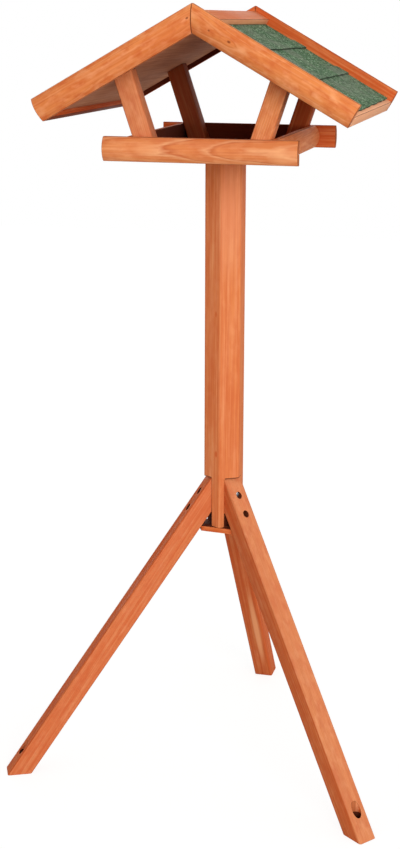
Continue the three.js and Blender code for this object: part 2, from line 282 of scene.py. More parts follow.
pineTones = {
    "ring": [(0.0, "#E98C4D"), (0.5, "#E17D42"), (0.72, "#FFC08A"), (0.84, "#BF5526"), (1.0, "#E98C4D")],
    "plain": "#E88A4A",
    "fibre": "#CC652F",
    "blotch": "#CF5E2D",
    "pale": "#FBAE78",
    "deep": "#D4652F",
    # thick and thin glaze, also used as painted shade and painted light
    "thick": "#CB5420",
    "thin": "#F9B68B",
    "rose": "#D08A6A",
    "knot": "#7A3216",
    "endGrain": "#A9582C",
    # glaze pooling on arrises, and the painted shade
    "pooled": "#4C1A0B",
}
boardTones = {
    "ring": [(0.0, "#D2936C"), (0.5, "#C98862"), (0.8, "#BA7854"), (0.95, "#AB6B4C"), (1.0, "#D2936C")],
    "plain": "#C88862",
    "fibre": "#AE7150",
    "blotch": "#9E6144",
    "pale": "#E2A783",
    "deep": "#9C6042",
    "thick": "#74432A",
    "thin": "#D2A284",
    "rose": "#A8745C",
    "endGrain": "#8A5A40",
    "pooled": "#4E3022",
}

# Logs of the pieces whose grain shows most: where the pith lies across the piece in mm, how
# it leans along the piece, and its marks. A mark has a place along, across and out, a radius
# in mm, how far it is drawn out along the grain, a tone and how strongly that shows.
woodLogs = {
    "tray_rim_front": {
        "pith": (1, 18.1),
        "lean": (0.002, 0.024),
        "marks": [((122, -3, 12), 11, 2, "pale", 0.5), ((-74, 0, 13), 8, 2.2, "pale", 0.45)],
    },
    "tray_rim_right": {"pith": (-6, 50), "lean": (0, 0.02), "marks": []},
    "bargeboard_front_left": {
        "pith": (7, 58),
        "lean": (0.01, 0.012),
        "marks": [((4.1, -2.4, 15), 1.3, 1.6, "knot", 0.8)],
    },
    "bargeboard_front_right": {
        "pith": (-6, 62),
        "lean": (0, -0.012),
        "marks": [((29.5, -1.5, 15), 1.1, 1.4, "knot", 0.7), ((60.4, -0.7, 15), 1.5, 1.6, "knot", 0.8)],
    },
    "column": {
        "pith": (-38, 26),
        "lean": (0.006, -0.008),
        "marks": [
            ((341, 28, -7), 2.2, 2, "blotch", 0.7),
            ((120, 29, -6), 2.6, 2, "blotch", 0.9),
            # these two blotches just under the tray are painted shadow of the tray
            ((573, 21, 20), 6, 1, "blotch", 0.7),
            ((566, 24, 15), 4, 1, "blotch", 0.6),
            ((500, 24, 14), 20, 5, "thin", 0.2),
        ],
    },
    "leg_back": {"pith": (20, 30), "lean": (0, 0), "marks": [((386, -5, -16), 5.2, 20, "pale", 0.8)]},
}

# How the glaze lies on single pieces: its coat, from -1 for thin and pale to 1 for thick and
# red, how spotted it is, how rosy, and how strongly the rings show through it. The thick coats
# of the back posts, back leg, left leg, brace plate and left fascia are mostly painted shade,
# and the thin coat of the right fascia is painted light.
glazeUsual = (0, 0.6, 0.1, 0.5)
glazeAndShadeLays = {
    "bargeboard_front_left": (0.16, 1, 0, 0.35),
    "bargeboard_front_right": (0, 1, 0, 0.35),
    "bargeboard_back_left": (0.2, 0.9, 0, 0.4),
    "bargeboard_back_right": (0.2, 0.9, 0, 0.4),
    "tray_rim_front": (-0.08, 0.6, 0, 1),
    "tray_rim_right": (-0.08, 0.5, 0, 0.5),
    "tray_rim_back": (0.2, 0.5, 0, 0.5),
    "post_front_left": (0.1, 0.9, 0.3, 0.8),
    "post_front_right": (0, 0.9, 0.15, 0.8),
    "post_back_left": (0.8, 0.3, 0, 0.6),
    "post_back_right": (0.9, 0.3, 0, 0.6),
    "column": (0.38, 0.4, 0.14, 0.4),
    "leg_left": (0.6, 0.9, 0.3, 0.6),
    "leg_right": (0.12, 0.9, 0.35, 0.5),
    "leg_back": (0.85, 0.5, 0.1, 0.4),
    "brace_plate": (0.8, 0.3, 0, 0.5),
    "ridge_cap_right": (0.35, 0.5, 0.25, 0.6),
    "eave_fascia_left": (0.8, 0.4, 0.1, 0.5),
    "eave_fascia_right": (-0.8, 0.5, 0.1, 0.5),
}
# Painted light and shade by face: faces that point one way get a thicker, redder coat as painted
# shade (the back boards' and back rim's flat sides, one face of each of the legs) or a thinner,
# paler one as painted light (the right ridge cap's edge): which way they point, how closely,
# their coat and rose
paintedFaceShading = {
    "bargeboard_back_left": ((0, 0, -1), -0.3, 0.95, 0),
    "bargeboard_back_right": ((0, 0, -1), -0.3, 0.95, 0),
    "tray_rim_back": ((0, 0, -1), -0.3, 0.95, 0),
    "leg_right": ((0, -1, 0), 0.93, 0.75, 0.1),
    "leg_left": ((0.82, 0, 0.57), 0.8, 0.95, 0),
    "ridge_cap_right": ((1, 0, 0), 0.9, -0.5, 0),
}


# Logs that have no entry above: how far off the pith lies, and how much it leans at most
logUsual = {"pith": (26, 48), "lean": 0.02, "apart": 1000}


# A log for a piece: every piece has its own, set apart along X so that no two look alike
def pieceLog(node):
    log = woodLogs.get(node)
    if log:
        number, pith, lean = list(woodLogs).index(node), log["pith"], log["lean"]
    else:
        number = len(woodLogs) + list(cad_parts).index(node)
        angle, distance = random.uniform(0, 2 * math.pi), random.uniform(*logUsual["pith"])
        pith = (distance * math.cos(angle), distance * math.sin(angle))
        most = logUsual["lean"]
        lean = (random.uniform(-most, most), random.uniform(-most, most))
    tilt = Matrix(((1, 0, 0), (lean[0], 1, 0), (lean[1], 0, 1))).to_4x4()
    return Matrix.Translation((logUsual["apart"] * number, *pith)) @ tilt


pineMarks = [
    (pieceLog(node) @ Vector(at), *mark) for node, log in woodLogs.items() for at, *mark in log["marks"]
]
boardLook = dict(woodLook, ringWidth=6, ringShow=0.5, blotchShow=0.4, blotchLength=60, blotchWidth=16)

# Glazed pine: a satin film over the grain, thicker and redder in spots and along arrises, with
# painted shade and painted light on some pieces and faces
glazedPine = woodMaterial("glazed_pine_planed", woodLook, pineTones, pineMarks, 0.66, 0.14)
# Thin roof and floor board under a thin brown stain: flat and nearly matt
stainedBoard = woodMaterial("stained_thin_board", boardLook, boardTones, [], 0.8, 0.1)


# Roofing felt: bitumen with crushed green slate pressed in, so matt, grainy and mottled
feltLook = {
    "granule": 2.3,  # mm, real ones are about 1 mm, drawn coarser so that they show
    "mottle": 13,  # mm, of the spots with darker granules
    "mottleSpan": (0.42, 0.68),
    "mottleShow": 0.6,
    "patch": 70,  # mm, of the greyer parts
    "patchSpan": (0.45, 0.7),
    "patchShow": 0.5,
    "granules": [(0.0, "#1D3324"), (0.3, "#4A6F47"), (0.75, "#4A6F47"), (1.0, "#BED6B2")],
    "dark": "#1D3324",
    "grey": "#7A7F6E",
    "bitumen": "#22291F",
}


def feltMaterial():
    look = feltLook
    material, tree = newMaterial("mineral_felt_green")
    place = addNode(tree, "TexCoord").outputs["Object"]
    granules = {"Vector": place, "Scale": textureScale(look["granule"])}
    grains = addNode(tree, "TexVoronoi", granules, feature="F1")
    ramp = addNode(tree, "ValToRGB", {0: threeNoises(tree, grains)[0]})
    setRamp(ramp, look["granules"])
    mottle = spotNoise(tree, place, textureScale(look["mottle"]), 5.0, 0.7)
    mottled = ranged(tree, mottle, look["mottleSpan"], (0, look["mottleShow"]))
    tone = mixed(tree, mottled, ramp.outputs[0], look["dark"])
    patch = spotNoise(tree, place, textureScale(look["patch"]))
    patched = ranged(tree, patch, look["patchSpan"], (0, look["patchShow"]))
    tone = mixed(tree, patched, tone, look["grey"])
    tone = mixed(tree, faceShare(tree, "feltEdge"), tone, look["bitumen"])
    relief = {"Strength": 0.6, "Distance": 0.0006, "Height": grains.outputs["Distance"]}
    bump = addNode(tree, "Bump", relief, invert=True)
    surface = {"Base Color": tone, "Roughness": 0.95, "Specular IOR Level": 0.25}
    finishMaterial(tree, surface, bump)
    return material


# Zinc-plated steel: pressed screws, pale grey, softly shining, duller in spots
steelLook = {
    "bright": "#C9CCCF",
    "dull": "#9EA1A6",
    "spotScale": 900.0,
    "spotSpan": (0.3, 0.7),
    "roughness": (0.28, 0.45),
}


def steelMaterial():
    look = steelLook
    material, tree = newMaterial("zinc_plated_steel")
    place = addNode(tree, "TexCoord").outputs["Object"]
    spots = spotNoise(tree, place, look["spotScale"])
    tone = mixed(tree, spots, colour(look["bright"]), look["dull"])
    roughness = ranged(tree, spots, look["spotSpan"], look["roughness"])
    bump = addNode(tree, "Bump", {"Strength": 0.15, "Distance": 0.0001, "Height": spots})
    surface = {"Base Color": tone, "Roughness": roughness, "Metallic": 1.0}
    finishMaterial(tree, surface, bump)
    return material


mineralFelt = feltMaterial()
zincedSteel = steelMaterial()
print("stage: materials made")


# Shaping
def deselectAll():
    if bpy.context.mode != "OBJECT":
        bpy.ops.object.mode_set(mode="OBJECT")
    bpy.ops.object.select_all(action="DESELECT")


def onlyThis(obj):
    deselectAll()
    bpy.context.view_layer.objects.active = obj
    obj.select_set(True)


def addedPiece(name):  # what a primitive operator has just made, with its place in its mesh
    obj = bpy.context.object
    obj.name = obj.data.name = name
    bpy.ops.object.transform_apply(location=True, rotation=True, scale=True)
    return obj


def addBox(name, low, high):
    deselectAll()
    low, high = Vector(low), Vector(high)
    bpy.ops.mesh.primitive_cube_add(size=1, location=(low + high) / 2, scale=high - low)
    return addedPiece(name)


def addRound(name, radius, start, end, corners=32):
    deselectAll()
    start, end = Vector(start), Vector(end)
    turn = (end - start).to_track_quat("Z", "Y").to_euler()
    size = {"vertices": corners, "radius": radius, "depth": (end - start).length}
    bpy.ops.mesh.primitive_cylinder_add(**size, location=(start + end) / 2, rotation=turn)
    return addedPiece(name)


def openMesh(obj):  # for edit mode operators, with all of it selected
    onlyThis(obj)
    bpy.ops.object.mode_set(mode="EDIT")
    bpy.ops.mesh.select_all(action="SELECT")


def select(obj, kind, test):  # opens the mesh with only what passes the test selected
    openMesh(obj)
    mesh = bmesh.from_edit_mesh(obj.data)
    bpy.ops.mesh.select_mode(type=kind)
    bpy.ops.mesh.select_all(action="DESELECT")
    for item in {"EDGE": mesh.edges, "FACE": mesh.faces}[kind]:
        item.select_set(bool(test(item)))
    mesh.select_flush_mode()
    bmesh.update_edit_mesh(obj.data)


def closeMesh():
    bpy.ops.object.mode_set(mode="OBJECT")


def saw(obj, point, normal):  # takes off what lies on the normal's side
    openMesh(obj)
    normal = Vector(normal).normalized()
    bpy.ops.mesh.bisect(plane_co=point, plane_no=normal, use_fill=True, clear_outer=True)
    closeMesh()


def score(obj, point, normal):  # only adds edges, so that the faces on its two sides can differ
    openMesh(obj)
    bpy.ops.mesh.bisect(plane_co=point, plane_no=normal)
    closeMesh()


def facesDown(normal):
    return normal.z < -0.9


def middleOf(corners):
    return sum(corners, Vector()) / len(corners)


def extrudeDown(depth):
    bpy.ops.mesh.extrude_region_move(TRANSFORM_OT_translate={"value": (0, 0, -depth)})


def narrow(share):  # what is selected, towards the Z axis
    bpy.ops.transform.resize(value=(share, share, 1), center_override=(0, 0, 0))


def runsAlong(axis):  # a test for edges
    return lambda edge: abs((edge.verts[0].co - edge.verts[1].co).normalized().dot(axis)) > 0.9


def roundEdges(obj, test, width, segments=4):
    select(obj, "EDGE", test)
    bpy.ops.mesh.bevel(offset=width, segments=segments, affect="EDGES", clamp_overlap=True)
    closeMesh()


def takeAway(obj, cutter):
    onlyThis(obj)
    cut = obj.modifiers.new("cut", "BOOLEAN")
    cut.operation, cut.solver, cut.object = "DIFFERENCE", "EXACT", cutter
    bpy.ops.object.modifier_apply(modifier=cut.name)
    bpy.data.objects.remove(cutter)


def softenArrises(obj, width, angle=32):
    onlyThis(obj)
    edge = obj.modifiers.new("arris", "BEVEL")
    edge.width, edge.segments, edge.limit_method = width, 2, "ANGLE"
    edge.angle_limit, edge.harden_normals = math.radians(angle), False
    edge.use_clamp_overlap = True
    edge.material = 1  # marks the arrises for markWood, which clears it
    obj.data.materials.append(glazedPine)
    obj.data.materials.append(glazedPine)
    bpy.ops.object.modifier_apply(modifier=edge.name)


# How strongly cut ends and arrises are marked, and from what lean a face is a cut end
faceForm = {"end": 0.7, "arris": 0.6, "endLean": 0.45}


# Writes where each point lies in the log, how far each face is end grain, and how dark it is:
# glaze pooling along the arrises, and painted shade where "dark" says so from its normal and corners
def markWood(obj, node, grain, dark):
    mesh = obj.data
    log, glaze = pieceLog(node), glazeAndShadeLays.get(node, glazeUsual)
    intoGrain = (grain or Matrix()).inverted()
    turnOnly = intoGrain.to_3x3()
    places = [value for vertex in mesh.vertices for value in log @ (intoGrain @ vertex.co)]
    leans = [abs((turnOnly @ face.normal).normalized().x) for face in mesh.polygons]
    endShares = [faceForm["end"] if lean > faceForm["endLean"] else 0.0 for lean in leans]
    arris = faceForm["arris"]
    pooledAndShadeShares = [arris if face.material_index == 1 else 0.0 for face in mesh.polygons]
    if dark:
        corners = ([mesh.vertices[i].co for i in face.vertices] for face in mesh.polygons)
        paintedShadeShares = [dark(face.normal, around) for face, around in zip(mesh.polygons, corners)]
        pooledAndShadeShares = [max(pair) for pair in zip(pooledAndShadeShares, paintedShadeShares)]
    mesh.attributes.new("woodPlace", "FLOAT_VECTOR", "POINT").data.foreach_set("vector", places)
    shares = {"endGrain": endShares, "pooled": pooledAndShadeShares}
    for name, share in zip(("glazeCoat", "glazeSpots", "glazeRose", "ringStrength"), glaze):
        shares[name] = [share] * len(mesh.polygons)
    # painted light and shade on the faces that point one way
    if node in paintedFaceShading:
        way, closeness, *lay = paintedFaceShading[node]
        for name, share in zip(("glazeCoat", "glazeRose"), lay):
            pointing = [face.normal.dot(Vector(way)) > closeness for face in mesh.polygons]
            shares[name] = [share if there else shares[name][0] for there in pointing]
    for name, values in shares.items():
        mesh.attributes.new(name, "FLOAT", "FACE").data.foreach_set("value", values)
    for face in mesh.polygons:
        face.material_index = 0


def facesInwards(mesh):  # where the volume inside it comes out negative
    mesh.calc_loop_triangles()
    start = mesh.vertices[0].co
    volume = 0
    for triangle in mesh.loop_triangles:
        a, b, c = (mesh.vertices[i].co - start for i in triangle.vertices)
        volume += a.dot(b.cross(c))
    return volume < 0


def finishPiece(obj, place, node, material, smooth=30):
    obj.data.materials.clear()
    obj.data.materials.append(material)
    obj.data.transform(place)
    onlyThis(obj)
    bpy.ops.transform.resize(value=(millimetre,) * 3, center_override=(0, 0, 0))
    bpy.ops.object.transform_apply(location=True, rotation=True, scale=True)
    openMesh(obj)
    bpy.ops.mesh.normals_make_consistent(inside=False)
    closeMesh()
    if facesInwards(obj.data):  # as those of the tray's rims come out of the step above
        openMesh(obj)
        bpy.ops.mesh.flip_normals()
        closeMesh()
    bpy.ops.object.shade_smooth_by_angle(angle=math.radians(smooth))
    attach(obj, "root")
    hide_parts(node)


def finishWood(obj, place, node, grain=None, dark=None, material=None):
    markWood(obj, node, grain, dark)
    finishPiece(obj, place, node, material or glazedPine)


def axesAt(origin, along, outward):
    along, outward = Vector(along).normalized(), Vector(outward).normalized()
    across = outward.cross(along)
    return Matrix.Translation(origin) @ Matrix((along, across, outward)).transposed().to_4x4()


# A square bar with rounded edges, sawn at its two ends by these slopes, and stood up
def addBar(name, form, length, startSlope, endSlope, stood):
    half, rough = form["side"] / 2, form["rough"]
    obj = addBox(name, (-rough, -half, -half), (length + rough, half, half))
    roundEdges(obj, runsAlong(xAxis), form["rounding"])
    saw(obj, (0, 0, 0), (-1, 0, -startSlope))
    saw(obj, (length, 0, 0), (1, 0, -endSlope))
    obj.data.transform(stood)
    return obj


# Half-round strip for the gable boards and the tray's rims: X along it, Z out of its round face
stripForm = {
    "height": 34.5,
    "thickness": 15,
    "crown": 8,
    "facets": 112,
    "arris": 0.9,
    # painted shade on the rims' flat inner faces, which lie in shadow, and how far it reaches
    "shade": 0.95,  # of the flat face where it is dark
    "shadeReach": 110,  # of a dark face's middle, at most, from the rim's
}


def halfRoundStrip(name, start, end):
    half, crown = stripForm["height"] / 2, stripForm["crown"]
    radius = (half**2 + crown**2) / (2 * crown)
    centre = stripForm["thickness"] - radius
    edge = stripForm["thickness"] - crown
    obj = addRound(name, radius, (start, 0, centre), (end, 0, centre), stripForm["facets"])
    saw(obj, (0, 0, edge), (0, 0, -1))
    select(obj, "FACE", lambda face: facesDown(face.normal))
    extrudeDown(edge)
    closeMesh()
    return obj


# painted shade on a rim's flat inner face, between its two ends
def paintedShadeInside(normal, corners):  # of a rim's flat face, between its two ends
    inside = abs(middleOf(corners).x) < stripForm["shadeReach"]
    return stripForm["shade"] if facesDown(normal) and inside else 0


# Screws: a head at Z = 0 and the shank down -Z, with a cross recess
screwForm = {
    "shank": 4,
    "tip": 4,
    "tipShare": 0.1,  # of the shank's width
    "facets": 28,
    "endBite": 24,  # length of a screw in end grain
    "panRadius": 4,
    "panHeight": 3,
    "panRounding": 1.5,
    "flatRadius": 3.75,
    "flatRim": 0.35,
    "flatHeight": 2.4,
    "sinkBelow": 0.2,  # the head's underside
    "sinkAbove": 3,
    "recessWidth": 1.0,
    "recessLength": 4.6,
    "recessDepth": 1.7,
}


def makeScrew(name, head, length):
    form = screwForm
    pan = head == "pan"
    radius = form["panRadius"] if pan else form["flatRadius"]
    top, bottom = (form["panHeight"], 0) if pan else (0, -form["flatRim"])
    obj = addRound(name, radius, (0, 0, bottom), (0, 0, top), form["facets"])
    if pan:
        rounding = form["panRounding"]
        roundEdges(obj, lambda edge: all(v.co.z > top - near for v in edge.verts), rounding, 5)
    select(obj, "FACE", lambda face: facesDown(face.normal))
    shank = form["shank"] / 2
    if pan:
        bpy.ops.mesh.inset(thickness=radius - shank)
    else:
        extrudeDown(form["flatHeight"])
        narrow(shank / radius)
    down = length - form["tip"] + bottom - (0 if pan else form["flatHeight"])
    extrudeDown(down)
    extrudeDown(form["tip"])
    narrow(form["tipShare"])
    closeMesh()
    long, wide, deep = form["recessLength"] / 2, form["recessWidth"] / 2, form["recessDepth"]
    takeAway(obj, addBox("recess", (-long, -wide, top - deep), (long, wide, top + 1)))
    takeAway(obj, addBox("recess", (-wide, -long, top - deep), (wide, long, top + 1)))
    return obj


def placeScrew(pattern, name, place):
    obj = pattern.copy()
    obj.data = pattern.data.copy()
    bpy.context.collection.objects.link(obj)
    obj.name = obj.data.name = name
    finishPiece(obj, place, name, zincedSteel, 35)


def driveScrew(obj, pattern, name, at, place):  # its flat head is let in, flush with the face
    form = screwForm
    depths = (-form["flatHeight"] - form["sinkBelow"], form["sinkAbove"])
    start, end = (at @ Vector((0, 0, depth)) for depth in depths)
    takeAway(obj, addRound("sink", form["flatRadius"] + layout["gap"], start, end))
    placeScrew(pattern, name, place @ at)


# Column: six-sided, with arrises taken off and a flat sawn for each leg
columnForm = {
    "acrossFlats": 56,
    "rounding": 2.1,
    "tail": 23,  # below the legs' heels
    "arris": 0.7,
    # seam and seamShade: a painted shadow line at each shoulder; heelShade: painted shade behind the
    # heels
    "seam": 1.5,  # dark part of a shoulder
    "seamShade": 0.8,
    "heelShade": 0.98,
}
legForm = {
    "side": 32,
    "rounding": 3,
    "lean": math.radians(34.5),
    "reach": 335,  # from the column's axis to the leg's axis, on the ground
    "seat": 22,  # from the column's axis to the flats for the legs
    "directions": {"left": 204.5, "right": 321, "back": 89},
    "pegHole": 15,
    "pegInset": 8.4,
    "pegCut": (-10, 120),  # heights between which its hole is cut
    # painted shade low in the peg hole, below pegShadeTop
    "pegShade": 0.95,
    "pegShadeTop": 33,  # the height below which its hole is dark
    "counterbore": 9.4,
    # painted shade in the counterbores, and a painted shadow line along the leg's top edge
    "boreShade": 0.92,
    "screwWeb": 10,  # wood between a counterbore and the column
    "screwBite": 15,  # into the column
    "screwShares": {"lower": 0.1, "upper": 0.56},  # up the leg's sawn end
    "arris": 0.8,
    "rough": 60,  # that a leg and its seat are cut too long, and then sawn
}


def legHeight(radius):  # of a leg's axis above the ground
    return (legForm["reach"] - radius) / math.tan(legForm["lean"])


gap = layout["gap"]
legHalf = legForm["side"] / 2 / math.cos(legForm["lean"])
legEnd = legForm["seat"] + gap
legTop, legHeel = legHeight(legEnd - legHalf), legHeight(legEnd + legHalf)
columnFoot, columnTop = legHeel - columnForm["tail"], layout["trayBottom"] - gap


def directionTurn(angle):
    return Matrix.Rotation(math.radians(angle), 4, "Z")


def buildColumn():
    corner = columnForm["acrossFlats"] / 2 / math.cos(math.pi / 6)
    obj = addRound("column_pine", corner, (0, 0, columnFoot), (0, 0, columnTop), 6)
    roundEdges(obj, runsAlong(zAxis), columnForm["rounding"])
    seat, half, far = legForm["seat"], legForm["side"] / 2, legForm["rough"]
    turns = [directionTurn(angle) for angle in legForm["directions"].values()]
    for turned in turns:
        cutter = addBox("seat", (seat, -far, columnFoot - far), (far, far, legTop + gap))
        cutter.data.transform(turned)
        takeAway(obj, cutter)
    softenArrises(obj, columnForm["arris"], 40)
    shoulder = legTop + gap + columnForm["seam"]
    score(obj, (0, 0, legHeel), zAxis)
    score(obj, (0, 0, shoulder), zAxis)
    for turned in turns:
        for across in (-half, half):
            score(obj, turned @ Vector((0, across, 0)), turned @ yAxis)

    # Painted shade behind each leg's heel, and a painted shadow line at its shoulder
    def dark(normal, corners):
        middle = middleOf(corners)
        for turned in turns:
            at, facing = turned.inverted() @ middle, turned.inverted() @ normal
            atLeg = abs(at.y) < half
            if atLeg and facing.x > 0.99 and at.x < seat + near:
                return columnForm["heelShade"] if at.z < legHeel else 0
            if atLeg and at.x > seat and legTop < at.z < shoulder:
                return columnForm["seamShade"]
        return 0

    upright = axesAt((0, 0, columnFoot), zAxis, xAxis)
    finishWood(obj, axisPlace, "column", grain=upright, dark=dark)


def buildLegs():
    pattern = makeScrew("leg_screw", "pan", legForm["screwWeb"] + gap + legForm["screwBite"])
    lean = legForm["lean"]
    length, slope = (legForm["reach"] - legEnd) / math.sin(lean), math.tan(lean)
    along, outward = (math.sin(lean), 0, -math.cos(lean)), (math.cos(lean), 0, math.sin(lean))
    stood = axesAt((legEnd, 0, legHeight(legEnd)), along, outward)
    peg, pegRadius = legForm["reach"] - legForm["pegInset"], legForm["pegHole"] / 2
    seat, boreRadius = legEnd + legForm["screwWeb"], legForm["counterbore"] / 2
    rise = legTop - legHeel
    heights = {level: legHeel + share * rise for level, share in legForm["screwShares"].items()}

    def inPegHole(at):
        return math.hypot(at.x - peg, at.y) < pegRadius + near

    def inBore(at):
        fromBores = [math.hypot(at.y, at.z - height) for height in heights.values()]
        return at.x > seat - 1 and min(fromBores) < boreRadius + near

    # Painted shade low in the peg hole and in the bores, and a painted shadow line along the top edge
    def dark(normal, corners):  # low in the peg hole, in the bores and along the leg's top edge
        if all(map(inPegHole, corners)):
            low = max(corner.z for corner in corners) < legForm["pegShadeTop"] + near
            return legForm["pegShade"] if low else 0
        onTop = min(corner.z for corner in corners) > legTop - 1
        return legForm["boreShade"] if onTop or all(map(inBore, corners)) else 0

    for side, angle in legForm["directions"].items():
        obj = addBar(f"leg_{side}_pine", legForm, length, 1 / slope, slope, stood)
        start, end = ((peg, 0, height) for height in legForm["pegCut"])
        takeAway(obj, addRound("peg", pegRadius, start, end, 40))
        turned = directionTurn(angle)
        for level, height in heights.items():
            start, end = (seat, 0, height), (seat + legForm["rough"], 0, height)
            takeAway(obj, addRound("bore", boreRadius, start, end))
            place = axisPlace @ turned @ axesAt(start, zAxis, xAxis)
            placeScrew(pattern, f"leg_screw_{side}_{level}", place)
        softenArrises(obj, legForm["arris"], 40)
        score(obj, (0, 0, legForm["pegShadeTop"]), zAxis)
        finishWood(obj, axisPlace @ turned, f"leg_{side}", grain=stood, dark=dark)
    bpy.data.objects.remove(pattern)


# Brace plate: a triangle with its corners cut off, under the column and between the legs
plateForm = {
    "thickness": 8,
    "edgeRadius": 30,  # of its sides between the legs
    "arris": 0.6,
    "rough": 90,  # that it reaches each way before it is sawn
    # painted shade on its upper face, which lies under the column and legs
    "topShade": 0.9,
}


def buildBrace():
    top = columnFoot - gap
    bottom = top - plateForm["thickness"]
    againstLeg = legForm["reach"] - legHalf - top * math.tan(legForm["lean"]) - gap
    angles = sorted(legForm["directions"].values())
    between = [(a + b) / 2 for a, b in zip(angles, angles[1:] + [angles[0] + 360])]
    rough = plateForm["rough"]
    obj = addBox("brace_plate_pine", (-rough, -rough, bottom), (rough, rough, top))
    for reach, group in ((againstLeg, angles), (plateForm["edgeRadius"], between)):
        for angle in group:
            normal = directionTurn(angle) @ xAxis
            saw(obj, normal * reach, normal)
    length = plateForm["thickness"] + gap + screwForm["endBite"]
    pattern = makeScrew("brace_screw", "flat", length)
    for i, angle in enumerate(between):
        at = directionTurn(angle) @ axesAt((layout["screwCircle"], 0, bottom), xAxis, -zAxis)
        driveScrew(obj, pattern, f"brace_screw_{i + 1}", at, axisPlace)
    bpy.data.objects.remove(pattern)
    softenArrises(obj, plateForm["arris"], 25)

    # painted shade on its upper face
    def dark(normal, corners):  # its upper face
        return plateForm["topShade"] if normal.z > 0.9 else 0

    finishWood(obj, axisPlace, "brace_plate", dark=dark)
    return between


buildColumn()
buildLegs()
betweenLegs = buildBrace()
print("stage: column, legs and brace plate made")

# Tray: rims of half-round strip round a board, and four splayed posts inside its corners
trayForm = {
    "rimLength": 280,
    "floorThickness": 9,
    "floorArris": 0.5,
    # how far past the tray's inside the rims' painted shade runs
    "shadePast": 7,  # that a long rim's dark stretch runs past the tray's inside
}
postForm = {
    "side": 28,
    "rounding": 2.5,
    "lean": math.radians(18.4),
    "arris": 0.7,
    "rough": 40,  # that a post is cut too long, and then sawn
    # painted shadow of the roof on the front posts' outer faces, and painted shade on the back posts
    "shadeHeights": (52, 62, 72, 82),  # from each of which a front post's outer face is darker
    "shadeStep": 0.15,
    "backShades": {"left": 0.7, "right": 0.28},
}
trayPlace = axisPlace @ Matrix.Translation((0, 0, layout["trayBottom"]))
postHeel = layout["trayInsideWidth"] / 2 - gap - postForm["side"] / 2 / math.cos(postForm["lean"])
postBottom = trayForm["floorThickness"] + gap
postAcross = layout["trayInsideDepth"] / 2 - gap - postForm["side"] / 2


def postOffset(height):  # of a post's axis from the middle, above the tray's underside
    return postHeel + (height - stripForm["height"]) * math.tan(postForm["lean"])


def halfTurn(side):  # the left half of the house is the right half turned about Z
    return Matrix.Rotation(math.pi if side == "left" else 0, 4, "Z")


lengthwise = axesAt((0, 0, 0), yAxis, zAxis)


def buildRim(name, half, place, cuts=()):
    obj = halfRoundStrip(f"tray_rim_{name}_pine", -half, half)
    softenArrises(obj, stripForm["arris"])
    for cut in cuts:
        score(obj, (cut, 0, 0), xAxis)
    finishWood(obj, trayPlace @ place, f"tray_rim_{name}", dark=paintedShadeInside)


def buildTray():
    middle = stripForm["height"] / 2
    insideX, insideY = layout["trayInsideWidth"] / 2, layout["trayInsideDepth"] / 2
    shadeEnd = insideX + trayForm["shadePast"]
    for end, sign in ends.items():
        place = axesAt((0, sign * insideY, middle), xAxis, sign * yAxis)
        buildRim(end, trayForm["rimLength"] / 2, place, (-shadeEnd, shadeEnd))
    for side, sign in sides.items():
        place = axesAt((sign * insideX, 0, middle), yAxis, sign * xAxis)
        buildRim(side, insideY - gap, place)
    thickness = trayForm["floorThickness"]
    wide, deep = insideX - gap, insideY - gap
    floor = addBox("tray_floor_board", (-wide, -deep, 0), (wide, deep, thickness))
    pattern = makeScrew("floor_screw", "flat", thickness + gap + screwForm["endBite"])
    for i, angle in enumerate(betweenLegs):
        at = directionTurn(angle) @ axesAt((layout["screwCircle"], 0, thickness), xAxis, zAxis)
        driveScrew(floor, pattern, f"floor_screw_{i + 1}", at, trayPlace)
    for end, side, kind in houseCorners:
        under = (postOffset(postBottom), kind * postAcross, 0)
        at = halfTurn(side) @ axesAt(under, xAxis, -zAxis)
        driveScrew(floor, pattern, f"post_screw_{end}_{side}", at, trayPlace)
    bpy.data.objects.remove(pattern)
    softenArrises(floor, trayForm["floorArris"])
    finishWood(floor, trayPlace, "tray_floor", lengthwise, material=stainedBoard)


buildTray()
print("stage: tray made")

# Roof layers, as depths square to the slope from the gable boards' upper edges
roofForm = {
    "capSink": 7.3,
    "capThickness": 8.7,
    "capWidth": 30,
    "feltThickness": 1.7,
    "panelThickness": 9,
    "fasciaThickness": 12,
    "arris": 0.7,
    "panelArris": 0.4,
    "rough": 40,  # that a board is cut too long at the ridge, and then sawn
    # painted shade on the fascias' undersides
    "fasciaShades": {"left": 0.75, "right": 0.2},  # of their undersides
}
pitch = layout["roofPitch"]
slopeLength = layout["roofSpan"] / 2 / math.cos(pitch)
mitre = math.tan(pitch)
mitreGap = gap / 2 / math.cos(pitch)
feltTop = roofForm["capSink"] + roofForm["capThickness"] + gap
panelTop = feltTop + roofForm["feltThickness"] + gap
panelBottom = panelTop + roofForm["panelThickness"]
fasciaInner = slopeLength - roofForm["fasciaThickness"]
sheetHalf = layout["roofInside"] / 2 - gap


def slopePlace(side):  # X down the slope and Z square to it
    ridge = Matrix.Translation((0, 0, layout["roofTop"]))
    return axisPlace @ halfTurn(side) @ ridge @ Matrix.Rotation(pitch, 4, "Y")


def addSlopeBoard(name, start, end, top, bottom, arris):  # by its two depths in the slope
    obj = addBox(name, (start, -sheetHalf, -bottom), (end, sheetHalf, -top))
    if start < 0:  # it meets the other slope's board at the ridge
        saw(obj, (mitreGap, 0, 0), (-1, 0, -mitre))
    softenArrises(obj, arris)
    return obj


